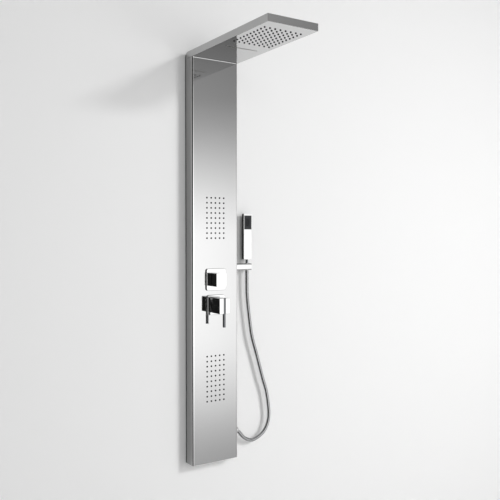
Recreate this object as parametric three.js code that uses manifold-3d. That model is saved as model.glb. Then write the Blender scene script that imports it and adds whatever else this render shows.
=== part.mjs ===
// A wall-hung shower column: a folded steel panel that carries a rain head, two fields of body
// jets, a diverter, a mixer and a hand shower on a hose. Millimetres, +Z up, +X to the right as
// seen from the front. y = 0 is the wall, and the front faces -Y. The origin is the middle of the
// back of the upper wall bracket, where the column hangs.
import * as THREE from 'three';
import { mergeVertices } from 'three/addons/utils/BufferGeometryUtils.js';
import Module from 'manifold-3d';

const wasm = await Module();
wasm.setup();

// Driving dimensions. Heights are above the lower end of the panel.
const panelWidth = 200;
const panelDepth = 55;
const panelHeight = 1540;
const sheet = 1.5;
const foldRadius = 5;
const backReturn = 10.5;
const gap = 0.3;

const headLength = 555;
const headThickness = 25;
const headBackRadius = 22;

const jetPitchX = 18.5;
const jetPitchZ = 19.2;
const jetColumns = 5;
const jetHoleRadius = 3;
const upperJets = { height: 939, rows: 9 };
const lowerJets = { height: 323.5, rows: 10 };

const rainColumns = 8;
const rainRows = 10;
const rainPitch = 20.7;
const rainMiddle = -404;
const fallMiddle = -246;
const fallLength = 130;
const fallWidth = 4.5;

const diverterHeight = 704;
const diverterPlate = 84;
const knob = { width: 43, height: 51, back: -9.5, front: -46 };
const mixerHeight = 607;
const mixerPlate = 76;
const handle = { width: 44, height: 59, back: -12, front: -70, pivot: -26 };
const lever = { width: 8, depth: 10, drop: 51 };
const plateDepth = 7;
const plateCorner = 8;

const handsetX = 160.5;
const handsetY = -27;
const handset = { width: 36.4, depth: 16, bottom: 777, top: 959 };
const holder = { right: 173.5, front: -43, back: -11, bottom: 734, top: 762 };
const cone = { top: 11.8, bottom: 9.7, low: 733, high: 763 };

const outlet = { x: 103, height: 112, slope: new THREE.Vector3(0.66, 0, -0.7513) };
const hoseRadius = 7;
const feedRadius = 6;
const feedBore = 4;

const bracketHeight = 1300;
const bracketWidth = 110;
const tailSpacing = 150;
const tailHeight = 470;

// Where pieces lie across the panel's depth.
const front = -panelDepth;
const innerFront = front + sheet;
const innerSide = panelWidth / 2 - sheet;
const headFloor = panelHeight + gap;
const headTop = headFloor + headThickness;
const headInside = headFloor + 13;

const steel = { color: 0xc9cccf, roughness: 0.12, metalness: 1 };
const chrome = { color: 0xd8dadd, roughness: 0.06, metalness: 1 };
const brass = { color: 0xb58a45, roughness: 0.35, metalness: 1 };
const zinc = { color: 0x9da1a6, roughness: 0.4, metalness: 0.9 };
const plastic = { color: 0xd9d9d4, roughness: 0.55, metalness: 0 };
const silicone = { color: 0x1d1e20, roughness: 0.6, metalness: 0 };
const rubber = { color: 0x26272a, roughness: 0.8, metalness: 0 };

// Solids: three.js makes each shape, and these join or cut them.
function toSolid(geometry) {
  const plain = geometry.clone();
  plain.deleteAttribute('normal');
  plain.deleteAttribute('uv');
  const merged = mergeVertices(plain, 1e-4);
  return new wasm.Manifold(new wasm.Mesh({
    numProp: 3,
    vertProperties: Float32Array.from(merged.attributes.position.array),
    triVerts: Uint32Array.from(merged.index.array),
  }));
}

function fromSolid(solid) {
  const mesh = solid.getMesh();
  const geometry = new THREE.BufferGeometry();
  geometry.setAttribute('position', new THREE.BufferAttribute(mesh.vertProperties, 3));
  geometry.setIndex(new THREE.BufferAttribute(mesh.triVerts, 1));
  geometry.computeVertexNormals();
  return geometry;
}

function join(first, ...others) {
  return fromSolid(others.reduce((solid, shape) => solid.add(toSolid(shape)), toSolid(first)));
}

function cut(base, ...tools) {
  return fromSolid(tools.reduce((solid, tool) => solid.subtract(toSolid(tool)), toSolid(base)));
}

// Plain shapes. A block is given by its low and high x, y and z.
function block([x0, x1], [y0, y1], [z0, z1]) {
  const shape = new THREE.BoxGeometry(x1 - x0, y1 - y0, z1 - z0);
  return shape.translate((x0 + x1) / 2, (y0 + y1) / 2, (z0 + z1) / 2);
}

function rod(start, end, radius, sides = 16, endRadius = radius) {
  const from = new THREE.Vector3(...start);
  const to = new THREE.Vector3(...end);
  const along = to.clone().sub(from);
  const shape = new THREE.CylinderGeometry(endRadius, radius, along.length(), sides);
  const up = new THREE.Vector3(0, 1, 0);
  shape.applyQuaternion(new THREE.Quaternion().setFromUnitVectors(up, along.normalize()));
  const middle = from.add(to).multiplyScalar(0.5);
  return shape.translate(middle.x, middle.y, middle.z);
}

function ring(start, end, radius, bore, sides = 16, boreSides = sides) {
  const past = new THREE.Vector3(...end).sub(new THREE.Vector3(...start)).normalize();
  const low = new THREE.Vector3(...start).sub(past).toArray();
  const high = new THREE.Vector3(...end).add(past).toArray();
  return cut(rod(start, end, radius, sides), rod(low, high, bore, boreSides));
}

function roundedOutline(width, height, radius) {
  const x = width / 2;
  const y = height / 2;
  const outline = new THREE.Shape();
  outline.absarc(x - radius, y - radius, radius, 0, Math.PI / 2);
  outline.absarc(radius - x, y - radius, radius, Math.PI / 2, Math.PI);
  outline.absarc(radius - x, radius - y, radius, Math.PI, Math.PI * 1.5);
  outline.absarc(x - radius, radius - y, radius, Math.PI * 1.5, Math.PI * 2);
  return outline;
}

// A rounded rectangle standing upright in x and z, thick along y.
function uprightPlate(width, height, radius, [y0, y1], curveSegments = 4) {
  const outline = roundedOutline(width, height, radius);
  const depth = y1 - y0;
  const shape = new THREE.ExtrudeGeometry(outline, { depth, bevelEnabled: false, curveSegments });
  return shape.rotateX(Math.PI / 2).translate(0, y1, 0);
}

// A side outline in y and z, carried across x between two planes.
function across(outline, [x0, x1], curveSegments = 5) {
  const depth = x1 - x0;
  const shape = new THREE.ExtrudeGeometry(outline, { depth, bevelEnabled: false, curveSegments });
  const turn = new THREE.Matrix4().makeBasis(
    new THREE.Vector3(0, 1, 0), new THREE.Vector3(0, 0, 1), new THREE.Vector3(1, 0, 0));
  return shape.applyMatrix4(turn).translate(x0, 0, 0);
}

// A hose along smooth points. A full circle is drawn with twice curveSegments sides.
function tube(points, radius, bore, steps, sides = 6) {
  const section = new THREE.Shape().absarc(0, 0, radius, 0, Math.PI * 2);
  if (bore > 0) section.holes.push(new THREE.Path().absarc(0, 0, bore, 0, Math.PI * 2, true));
  const path = new THREE.CatmullRomCurve3(points.map((p) => new THREE.Vector3(...p)));
  return new THREE.ExtrudeGeometry(section, {
    steps, curveSegments: sides / 2, extrudePath: path, bevelEnabled: false,
  });
}

// Small upright prisms that drill a grid of holes, as one geometry list.
function grid(columns, rows, pitchX, pitchRow, drill) {
  const drills = [];
  for (let column = 0; column < columns; column += 1) {
    for (let row = 0; row < rows; row += 1) {
      const x = (column - (columns - 1) / 2) * pitchX;
      drills.push(drill(x, (row - (rows - 1) / 2) * pitchRow));
    }
  }
  return drills;
}

const object = new THREE.Group();
object.position.z = -bracketHeight;

function add(group, name, geometry, finish) {
  const mesh = new THREE.Mesh(geometry, new THREE.MeshStandardMaterial(finish));
  mesh.name = name;
  group.add(mesh);
}

// Folded panel: front, two sides and narrow returns along the wall, open at the back.
function panelOutline() {
  const side = panelWidth / 2;
  const inner = foldRadius - sheet;
  const edge = side - backReturn;
  const outline = new THREE.Shape();
  outline.moveTo(-edge, 0);
  outline.lineTo(-side, 0);
  outline.absarc(foldRadius - side, front + foldRadius, foldRadius, Math.PI, Math.PI * 1.5);
  outline.absarc(side - foldRadius, front + foldRadius, foldRadius, Math.PI * 1.5, Math.PI * 2);
  outline.lineTo(side, 0);
  outline.lineTo(edge, 0);
  outline.lineTo(edge, -sheet);
  outline.lineTo(innerSide, -sheet);
  outline.absarc(innerSide - inner, innerFront + inner, inner, Math.PI * 2, Math.PI * 1.5, true);
  outline.absarc(inner - innerSide, innerFront + inner, inner, Math.PI * 1.5, Math.PI, true);
  outline.lineTo(-innerSide, -sheet);
  outline.lineTo(-edge, -sheet);
  return outline;
}

const throughFront = [front - 1, innerFront + 1];
const holderScrewHeights = [741, 755];
const jetDrills = [upperJets, lowerJets].flatMap(({ height, rows }) => grid(
  jetColumns, rows, jetPitchX, jetPitchZ,
  (x, z) => rod([x, throughFront[0], height + z], [x, throughFront[1], height + z],
    jetHoleRadius, 6)));
const panelSheet = new THREE.ExtrudeGeometry(
  panelOutline(), { depth: panelHeight, bevelEnabled: false, curveSegments: 4 });
add(object, 'column_shell', cut(
  panelSheet,
  ...jetDrills,
  rod([0, throughFront[0], diverterHeight], [0, throughFront[1], diverterHeight], 13, 20),
  rod([0, throughFront[0], mixerHeight], [0, throughFront[1], mixerHeight], 14, 20),
  rod([innerSide - 1, handsetY, outlet.height], [innerSide + 3, handsetY, outlet.height],
    9.5, 20),
  ...holderScrewHeights.map((z) => rod([innerSide - 1, handsetY, z],
    [innerSide + 3, handsetY, z], 2.5, 8)),
), steel);

// End cap of the panel, set a little up inside it, held to the lower bracket by two screws.
const capHeight = 6;
const lockX = 35;
const lockY = -20;
add(object, 'bottom_cap', cut(
  block([gap - innerSide, innerSide - gap], [innerFront + foldRadius - sheet + gap, -sheet - gap],
    [capHeight, capHeight + sheet]),
  ...[-lockX, lockX].map((x) => rod([x, lockY, capHeight - 1], [x, lockY, capHeight + 3], 2.5, 8)),
), steel);

// Rain head: a tray folded from one sheet, closed below by the nozzle plate.
function headOutline(inset, bottom) {
  const radius = headBackRadius - inset;
  const outline = new THREE.Shape();
  outline.moveTo(-inset, bottom);
  outline.absarc(-inset - radius, headTop - inset - radius, radius, 0, Math.PI / 2);
  outline.lineTo(inset - headLength, headTop - inset);
  outline.lineTo(inset - headLength, bottom);
  return outline;
}

add(object, 'head_shell', cut(
  across(headOutline(0, headFloor), [-panelWidth / 2, panelWidth / 2]),
  across(headOutline(sheet, headFloor - 5), [-innerSide, innerSide]),
), steel);

const throughFloor = [headFloor - 1, headFloor + sheet + 1];
const rainDrills = grid(rainColumns, rainRows, rainPitch, rainPitch, (x, y) => rod(
  [x, rainMiddle + y, throughFloor[0]], [x, rainMiddle + y, throughFloor[1]],
  jetHoleRadius, 6));
const halfFall = fallLength / 2;
add(object, 'head_nozzle_plate', cut(
  block([gap - innerSide, innerSide - gap], [sheet + gap - headLength, innerFront + 3],
    [headFloor, headFloor + sheet]),
  ...rainDrills,
  block([-halfFall, halfFall], [fallMiddle - fallWidth / 2, fallMiddle + fallWidth / 2],
    throughFloor),
), steel);

// Water boxes: each is open on the side that its silicone mat or slot closes.
const boxWall = 2.5;
const rainBox = { x: [-90, 90], y: [-530, -288], z: [headFloor + 4.2, headFloor + 20] };
const rainPort = -81;
add(object, 'rain_nozzle_mat', block([-88, 88], [-528, -290],
  [headFloor + sheet + gap, headFloor + 3.9]), silicone);
add(object, 'rain_chamber', cut(
  join(block(rainBox.x, rainBox.y, rainBox.z),
    rod([rainPort, -289, headInside], [rainPort, -276, headInside], feedRadius)),
  block([-90 + boxWall, 90 - boxWall], [-530 + boxWall, -288 - boxWall],
    [headFloor, rainBox.z[1] - boxWall]),
  rod([rainPort, -295, headInside], [rainPort, -270, headInside], feedBore),
), plastic);

const fallPort = 30;
add(object, 'waterfall_chamber', cut(
  join(block([-73, 73], [-268, -224], [headFloor + sheet + gap, headFloor + 20]),
    rod([fallPort, -225, headInside], [fallPort, -212, headInside], feedRadius)),
  block([-73 + boxWall, 73 - boxWall], [-268 + boxWall, -224 - boxWall],
    [headFloor + 4, headFloor + 20 - boxWall]),
  block([-halfFall, halfFall], [fallMiddle - fallWidth / 2, fallMiddle + fallWidth / 2],
    [headFloor, headFloor + 5]),
  rod([fallPort, -230, headInside], [fallPort, -205, headInside], feedBore),
), plastic);

const jetBoxX = [-52, 52];
const matBack = innerFront + gap + 2;
const jetBoxBack = -33;
const jetPortY = -42;
function jetBox(name, { height, rows }, portSide) {
  const half = (rows * jetPitchZ) / 2 + 8;
  const end = height + portSide * half;
  const x = portSide > 0 ? -22 : 0;
  add(object, `${name}_jet_mat`, block([-50, 50], [innerFront + gap, matBack],
    [height - half + 2, height + half - 2]), silicone);
  add(object, `${name}_jet_chamber`, cut(
    join(block(jetBoxX, [matBack + gap, jetBoxBack], [height - half, height + half]),
      rod([x, jetPortY, end - portSide], [x, jetPortY, end + portSide * 12], feedRadius)),
    block([jetBoxX[0] + boxWall, jetBoxX[1] - boxWall], [matBack, jetBoxBack - boxWall],
      [height - half + boxWall, height + half - boxWall]),
    rod([x, jetPortY, end - portSide * 6], [x, jetPortY, end + portSide * 14], feedBore),
  ), plastic);
  return [x, jetPortY, end + portSide * (12 + gap)];
}
const upperJetPort = jetBox('upper', upperJets, -1);
const lowerJetPort = jetBox('lower', lowerJets, 1);

// Diverter: a brass body behind the panel, a plate in front, and a knob on a turning stem.
const controlCentre = (height) => new THREE.Vector3(0, front, height);
const bodyFront = sheet + gap;
const portLength = 10;
const diverterPorts = { topRain: -22, topJets: 0, topFall: 22, low: -26, hand: 26 };
const diverterHalf = 30;
const diverterPortY = 13;
function diverterBody() {
  const top = diverterHalf + portLength;
  const port = (x, z0, z1, radius) => rod([x, diverterPortY, z0], [x, diverterPortY, z1], radius);
  const { topRain, topJets, topFall, low, hand } = diverterPorts;
  return cut(
    join(block([-36, 36], [bodyFront, 38], [-diverterHalf, diverterHalf]),
      ...[topRain, topJets, topFall].map((x) => port(x, diverterHalf - 1, top, feedRadius)),
      ...[low, hand].map((x) => port(x, 1 - diverterHalf, -top, feedRadius)),
      port(0, 1 - diverterHalf, -top, 8)),
    rod([0, 0, 0], [0, 30, 0], 12.5, 20),
    ...[topRain, topJets, topFall].map((x) => port(x, 0, top + 1, feedBore)),
    ...[low, hand].map((x) => port(x, 0, -top - 1, feedBore)),
    port(0, 0, -top - 1, 5),
    block([-27, 27], [10, 16], [-3, 3]),
  );
}

function coverPlate(size, hole) {
  return cut(
    uprightPlate(size, size, plateCorner, [-plateDepth, -gap]),
    uprightPlate(size - 4, size - 4, plateCorner - 2, [sheet - plateDepth, 1]),
    rod([0, -plateDepth - 1, 0], [0, 1, 0], hole, 20),
  );
}

function plateSeal(size) {
  return cut(
    uprightPlate(size, size, 4, [-1.5, -gap]),
    uprightPlate(size - 8, size - 8, 2, [-3, 1]),
  );
}

function diverterKnob() {
  const { width, height, back, front: face } = knob;
  return cut(
    uprightPlate(width, height, 2.5, [face, back], 3),
    rod([0, back + 1, 0], [0, -30, 0], 4.3),
    rod([0, -20, -height / 2 - 1], [0, -20, 0], 2.3, 8),
  );
}

const diverter = new THREE.Group();
diverter.position.copy(controlCentre(diverterHeight));
object.add(diverter);
add(diverter, 'diverter_body', diverterBody(), brass);
add(diverter, 'diverter_cartridge', cut(
  ring([0, bodyFront + 1, 0], [0, 29, 0], 12.2, 4.3, 20),
  rod([-14, diverterPortY, 0], [14, diverterPortY, 0], 3, 8),
), plastic);
add(diverter, 'diverter_plate', coverPlate(diverterPlate, 8), chrome);
add(diverter, 'diverter_plate_seal', plateSeal(diverterPlate - 6), rubber);
add(diverter, 'diverter_collar', ring([0, -9.2, 0], [0, -plateDepth - gap, 0], 11, 4.4, 20),
  chrome);
add(diverter, 'diverter_stem', rod([0, -29, 0], [0, 25, 0], 4), brass);
add(diverter, 'diverter_knob', diverterKnob(), chrome);
add(diverter, 'diverter_grub_screw', rod([0, -20, 1 - knob.height / 2], [0, -20, -4.4], 2, 8),
  zinc);

// Mixer: the spindle turns for temperature, and the block handle tips on it for flow.
const mixerPortX = 46;
const mixerPortY = 27;
const mixerTop = 26;
function mixerBody() {
  const side = (x0, x1, radius) => rod([x0, mixerPortY, 0], [x1, mixerPortY, 0], radius);
  return cut(
    join(block([-32, 32], [bodyFront, 40], [-mixerTop, mixerTop]),
      side(-mixerPortX, -31, 8), side(31, mixerPortX, 8),
      rod([0, diverterPortY, mixerTop - 1], [0, diverterPortY, mixerTop + 8], 8)),
    rod([0, 0, 0], [0, 31, 0], 18, 20),
    side(-mixerPortX - 1, mixerPortX + 1, 5),
    rod([0, diverterPortY, 0], [0, diverterPortY, mixerTop + 9], 5),
  );
}

function mixerHandle() {
  const { width, height, back, front: face, pivot } = handle;
  const top = height / 2;
  const corner = new THREE.Shape([
    new THREE.Vector2(back + 1, top - 13), new THREE.Vector2(back + 1, top + 1),
    new THREE.Vector2(back - 6.5, top + 1)]);
  return cut(
    uprightPlate(width, height, 2.5, [face, back], 3),
    across(corner, [-width, width]),
    block([-9, 9], [-40, back + 1], [-13, 13]),
    block([-lever.width / 2 - gap, lever.width / 2 + gap],
      [face - 1, face + lever.depth + gap], [-height, height]),
    rod([-19.3, pivot, 0], [width, pivot, 0], 2.3, 8),
    rod([0, -39, 0], [0, face, 0], 1.9, 8),
  );
}

const leverBack = handle.front + lever.depth;
const screwTip = handle.front + 5;
const mixer = new THREE.Group();
mixer.position.copy(controlCentre(mixerHeight));
object.add(mixer);
add(mixer, 'mixer_body', mixerBody(), brass);
add(mixer, 'mixer_cartridge', cut(
  rod([0, 9.5, 0], [0, 30, 0], 17.6, 20),
  rod([0, 9, 0], [0, 25, 0], 6.4),
  rod([-20, mixerPortY, 0], [20, mixerPortY, 0], 3, 8),
), plastic);
add(mixer, 'cartridge_nut', ring([0, bodyFront, 0], [0, 9.2, 0], 17.6, 6.5, 20), brass);
add(mixer, 'mixer_plate', coverPlate(mixerPlate, 9), chrome);
add(mixer, 'mixer_plate_seal', plateSeal(mixerPlate - 6), rubber);
add(mixer, 'mixer_spindle', cut(
  rod([0, -31, 0], [0, 24, 0], 6),
  rod([-8, handle.pivot, 0], [8, handle.pivot, 0], 2.3, 8),
), brass);
add(mixer, 'mixer_handle', mixerHandle(), chrome);
add(mixer, 'handle_hinge_pin', rod([-19, handle.pivot, 0], [18, handle.pivot, 0], 2, 8), zinc);
add(mixer, 'hinge_pin_plug', rod([18.3, handle.pivot, 0], [21, handle.pivot, 0], 2, 8), zinc);
add(mixer, 'mixer_lever', cut(
  block([-lever.width / 2, lever.width / 2], [handle.front, leverBack],
    [-handle.height / 2 - lever.drop, handle.height / 2]),
  rod([0, leverBack + 10, 0], [0, screwTip - 0.5, 0], 1.9, 8),
), chrome);
add(mixer, 'lever_screw', join(
  rod([0, screwTip, 0], [0, -38.5, 0], 1.6, 8), rod([0, -39.7, 0], [0, -37, 0], 3, 8)), zinc);

const link = [mixerHeight + mixerTop + 8 + gap, diverterHeight - diverterHalf - portLength - gap];
add(object, 'mixer_to_diverter_pipe',
  ring([0, front + diverterPortY, link[0]], [0, front + diverterPortY, link[1]], 8, 5), brass);

// Feed hoses inside the panel and the head, each from a port of the diverter.
const portY = front + diverterPortY;
const diverterTop = diverterHeight + diverterHalf + portLength + gap;
const diverterLow = diverterHeight - diverterHalf - portLength - gap;
const { topRain, topJets, topFall, low: lowPort, hand: handPort } = diverterPorts;
const headY = -21;
const intoHead = (x, endY) => [
  [x, headY, 1440], [x, headY - 2, 1515], [x, headY - 16, 1546], [x, headY - 45, headInside],
  [x, headY - 110, headInside], [x, endY, headInside]];
add(object, 'rain_feed_hose', tube([
  [topRain, portY, diverterTop], [topRain, portY, diverterTop + 12],
  [-28, portY + 6, diverterTop + 32],
  [-48, -24, 812], [-62, headY, 880], [-70, headY, 1150],
  ...intoHead(rainPort, -276 + gap)], feedRadius, feedBore, 26), rubber);
add(object, 'waterfall_feed_hose', tube([
  [topFall, portY, diverterTop], [topFall, portY, diverterTop + 12],
  [26, portY + 6, diverterTop + 32],
  [42, -24, 812], [56, headY, 880], [52, headY, 1150],
  ...intoHead(fallPort, -212 + gap)], feedRadius, feedBore, 26), rubber);
add(object, 'upper_jet_feed_hose', tube([
  [topJets, portY, diverterTop], [topJets, portY, 775], [0, jetPortY, 810], upperJetPort],
feedRadius, feedBore, 6), rubber);
add(object, 'lower_jet_feed_hose', tube([
  [lowPort, portY, diverterLow], [lowPort, portY, diverterLow - 7], [-46, portY, 634],
  [-57, portY, 600], [-56, portY, 530], [-34, jetPortY, 480],
  [lowerJetPort[0], jetPortY, lowerJetPort[2] + 12], lowerJetPort],
feedRadius, feedBore, 20), rubber);
add(object, 'hand_feed_hose', tube([
  [handPort, portY, diverterLow], [handPort, portY, diverterLow - 7], [47, portY, 636],
  [72, portY, 600], [80, portY, 520], [82, portY, 300], [76, portY + 4, 190],
  [52, -31, 140], [36, handsetY, 118], [50, handsetY, outlet.height],
  [70 - gap, handsetY, outlet.height]],
feedRadius, feedBore, 28), rubber);

// Supply tails: two hoses from the mixer's sides to nuts that face the wall.
const tailNutBack = -2;
function supply(name, side) {
  const x = (side * tailSpacing) / 2;
  const startX = side * (mixerPortX + gap);
  const y = front + mixerPortY;
  add(object, `${name}_tail`, tube([
    [startX, y, mixerHeight], [side * 56, y, mixerHeight], [side * 72, y, mixerHeight - 24],
    [x, y, 545], [x, y - 1, tailHeight + 22], [x, y + 1, tailHeight],
    [x, -18 - gap, tailHeight]], feedRadius, feedBore, 14), rubber);
  add(object, `${name}_nut`, ring([x, -18, tailHeight], [x, tailNutBack, tailHeight],
    14, 9.8, 6, 16), brass);
  add(object, `${name}_check_valve`, ring([x, -15, tailHeight], [x, -6, tailHeight],
    9.3, 3.5, 12), plastic);
}
supply('hot', -1);
supply('cold', 1);

// Outlet for the hand shower, through the right side, and the hose from it to the handset.
const outletCentre = new THREE.Vector3(outlet.x, handsetY, outlet.height);
const alongOutlet = (distance) => outletCentre.clone()
  .addScaledVector(outlet.slope, distance).toArray();
const ball = new THREE.SphereGeometry(9, 12, 8).translate(...outletCentre.toArray());
add(object, 'hose_outlet', cut(
  join(rod([70, handsetY, outlet.height], outletCentre.toArray(), 9, 12), ball,
    rod(outletCentre.toArray(), alongOutlet(14), 7)),
  rod([69, handsetY, outlet.height], outletCentre.toArray(), 5, 12),
  rod(outletCentre.toArray(), alongOutlet(15), 4.5, 12),
), chrome);
add(object, 'hose_lower_nut', join(
  ring(alongOutlet(9.6), alongOutlet(18), 9, 7.4, 6, 16),
  ring(alongOutlet(17), alongOutlet(22), 8, 4.5, 16),
), chrome);
add(object, 'hose_lower_washer', ring(alongOutlet(14.3), alongOutlet(16.7), 6, 4.5, 12), rubber);

const hoseEnd = 22 + gap;
const hoseTop = cone.low - gap;
const hoseRoute = [
  alongOutlet(hoseEnd), alongOutlet(hoseEnd + 14), [148, handsetY, 62], [183, handsetY, 47],
  [222, handsetY, 59], [248, handsetY, 81], [262.5, handsetY, 109], [267.5, handsetY, 141],
  [265.5, handsetY, 172], [255, handsetY, 235], [235, handsetY, 298], [208, handsetY, 390],
  [184, handsetY, 470], [175.5, handsetY, 520], [166, handsetY, 592], [161.5, handsetY, 640],
  [handsetX, handsetY, 690], [handsetX, handsetY, hoseTop],
];
add(object, 'shower_hose', tube(hoseRoute, hoseRadius, 0, 44, 10), chrome);

// Holder: a block on the panel's side, bored for the cone and open to the right for the hose.
add(object, 'handset_holder', cut(
  block([panelWidth / 2 + gap, holder.right], [holder.front, holder.back],
    [holder.bottom, holder.top]),
  rod([handsetX, handsetY, holder.bottom - 1], [handsetX, handsetY, holder.top + 1],
    cone.bottom + 0.4, 24, cone.top + 0.5),
  block([handsetX, holder.right + 1], [handsetY - 7.8, handsetY + 7.8],
    [holder.bottom - 1, holder.top + 1]),
  ...holderScrewHeights.map((z) => rod([99, handsetY, z], [116, handsetY, z], 2.3, 8)),
), chrome);
holderScrewHeights.forEach((z, index) => add(object, `holder_screw_${index + 1}`, join(
  rod([innerSide - 2.5, handsetY, z], [115, handsetY, z], 2, 8),
  rod([innerSide - 3.5, handsetY, z], [innerSide - gap, handsetY, z], 4, 8)), zinc));

// Hand shower: a flat bar with a dark spray plate, a threaded neck and the hose's cone nut.
const spray = { width: 33, height: 54, depth: 3, middle: 924 };
const handFront = -handset.depth / 2;
const hand = new THREE.Group();
hand.position.set(handsetX, handsetY, 0);
object.add(hand);

function handsetBody() {
  const outline = roundedOutline(handset.width, handset.depth, 2.5);
  const depth = handset.top - handset.bottom;
  const bar = new THREE.ExtrudeGeometry(outline, { depth, bevelEnabled: false, curveSegments: 3 });
  const half = spray.width / 2 + gap;
  const tall = spray.height / 2 + gap;
  return cut(
    bar.translate(0, 0, handset.bottom),
    block([-half, half], [handFront - 1, handFront + spray.depth + gap],
      [spray.middle - tall, spray.middle + tall]),
    block([-13, 13], [handFront, 4], [spray.middle - 23, spray.middle + 23]),
    rod([0, 0, handset.bottom - 1], [0, 0, spray.middle - 20], 5.8),
  );
}

add(hand, 'handset_body', handsetBody(), chrome);
add(hand, 'handset_spray_plate', block([-spray.width / 2, spray.width / 2],
  [handFront, handFront + spray.depth],
  [spray.middle - spray.height / 2, spray.middle + spray.height / 2]), silicone);
add(hand, 'handset_neck', ring([0, 0, 752], [0, 0, 792], 5.5, 3.5), chrome);
add(hand, 'hose_cone_nut', cut(
  rod([0, 0, cone.low], [0, 0, cone.high], cone.bottom, 24, cone.top),
  rod([0, 0, 748], [0, 0, 765], 5.8),
  rod([0, 0, cone.low - 1], [0, 0, 750], 4, 12),
), chrome);
add(hand, 'hose_upper_washer', ring([0, 0, 749], [0, 0, 751.5], 5.4, 3.5, 12), rubber);

// Wall brackets and the bar that hangs the panel on the upper one.
const hook = { foot: -30, top: 30, lip: 42, out: 6.3 };
function upperBracket() {
  const outline = new THREE.Shape([
    [0, hook.foot], [0, hook.top], [2 - hook.out, hook.top], [2 - hook.out, hook.lip],
    [-hook.out, hook.lip], [-hook.out, hook.top - 2], [-2, hook.top - 2], [-2, hook.foot],
  ].map(([y, z]) => new THREE.Vector2(y, z)));
  return cut(
    across(outline, [-bracketWidth / 2, bracketWidth / 2]).translate(0, 0, bracketHeight),
    ...[-38, 38].map((x) => block([x - 9, x + 9], [-3, 1],
      [bracketHeight - 12, bracketHeight - 6])));
}

function hangerBar() {
  const web = hook.lip + gap;
  const outline = new THREE.Shape([
    [-2, web - 9], [-2, web + 2], [-hook.out - gap - 2, web + 2], [-hook.out - gap - 2, -8],
    [-hook.out - gap, -8], [-hook.out - gap, web], [-4, web], [-4, web - 9],
  ].map(([y, z]) => new THREE.Vector2(y, z)));
  return across(outline, [gap - innerSide, innerSide - gap]).translate(0, 0, bracketHeight);
}

const shelf = 14;
function lowerBracket() {
  const outline = new THREE.Shape([
    [0, shelf], [0, shelf + 40], [-2, shelf + 40], [-2, shelf + 2], [-32, shelf + 2],
    [-32, shelf],
  ].map(([y, z]) => new THREE.Vector2(y, z)));
  return cut(
    across(outline, [-bracketWidth / 2, bracketWidth / 2]),
    ...[-38, 38].map((x) => block([x - 9, x + 9], [-3, 1], [shelf + 20, shelf + 26])),
    ...[-lockX, lockX].map((x) => rod([x, lockY, shelf - 1], [x, lockY, shelf + 3], 2.3, 8)));
}

add(object, 'upper_wall_bracket', upperBracket(), zinc);
add(object, 'hanger_bar', hangerBar(), steel);
add(object, 'lower_wall_bracket', lowerBracket(), zinc);
[-lockX, lockX].forEach((x, index) => add(object, `locking_screw_${index + 1}`, join(
  rod([x, lockY, capHeight - 2], [x, lockY, shelf + 6], 2, 8),
  rod([x, lockY, capHeight - 3.2], [x, lockY, capHeight - gap], 4, 8)), zinc));

export default object;
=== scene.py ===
import math

import bmesh
import bpy
from mathutils import Matrix, Vector


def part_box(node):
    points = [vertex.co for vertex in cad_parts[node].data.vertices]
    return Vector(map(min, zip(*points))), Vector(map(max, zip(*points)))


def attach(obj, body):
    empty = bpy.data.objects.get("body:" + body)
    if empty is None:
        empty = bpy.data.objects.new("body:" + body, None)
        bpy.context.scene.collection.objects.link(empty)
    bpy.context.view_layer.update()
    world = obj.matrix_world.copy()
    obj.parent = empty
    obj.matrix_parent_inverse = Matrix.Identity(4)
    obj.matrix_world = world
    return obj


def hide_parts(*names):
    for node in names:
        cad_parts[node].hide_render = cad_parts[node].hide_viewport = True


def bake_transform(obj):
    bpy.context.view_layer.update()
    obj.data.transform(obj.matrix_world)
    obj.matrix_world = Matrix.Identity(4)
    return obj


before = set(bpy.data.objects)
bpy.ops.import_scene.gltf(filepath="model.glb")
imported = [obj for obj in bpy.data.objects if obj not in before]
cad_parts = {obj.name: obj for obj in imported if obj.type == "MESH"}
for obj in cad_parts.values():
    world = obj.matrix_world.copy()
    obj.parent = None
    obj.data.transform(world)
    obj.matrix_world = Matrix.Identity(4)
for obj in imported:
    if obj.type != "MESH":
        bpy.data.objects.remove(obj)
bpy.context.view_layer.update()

# ---------------------------------------------------------------------------------------------
# Camera, wall, floor and light. The column hangs on a pale painted wall over a pale floor. Three
# soft lamps light it. Polished metal doesn't show them: it reflects a made-up room instead.
camera_place = Vector((-1.3022, -2.3108, -0.4255))
camera_turn = math.radians(32.91)
camera_tilt = math.radians(-1.274)
camera_lens = 48.89
wall_gap = 0.0008
floor_height = -1.95
floor_reach = 5.5
wall_side, wall_top = 9, 4
opening_side, opening_low, opening_top = 0.097, -1.297, 0.24


def linear(code):
    """An sRGB hex colour as linear red, green, blue and alpha."""
    parts = [int(code[place:place + 2], 16) / 255 for place in (1, 3, 5)]
    return (*[p / 12.92 if p <= 0.04045 else ((p + 0.055) / 1.055) ** 2.4 for p in parts], 1)


def add_node(tree, kind, settings=None, links=None):
    """Adds one node, sets its options and sockets, and links sources to its inputs."""
    made = tree.nodes.new(kind)
    for key, value in (settings or {}).items():
        if isinstance(key, int) or key in made.inputs:
            made.inputs[key].default_value = value
        else:
            setattr(made, key, value)
    for key, source in (links or {}).items():
        tree.links.new(source, made.inputs[key])
    return made


def start_material(name, colour, metallic, roughness):
    """A named material with its base finish, and the piece's own coordinates for its pattern."""
    made = bpy.data.materials.new(name)
    made.use_nodes = True
    shader = made.node_tree.nodes["Principled BSDF"]
    shader.inputs["Base Color"].default_value = linear(colour)
    shader.inputs["Metallic"].default_value = metallic
    shader.inputs["Roughness"].default_value = roughness
    place = add_node(made.node_tree, "ShaderNodeTexCoord").outputs["Object"]
    return made, made.node_tree, shader, place


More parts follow.
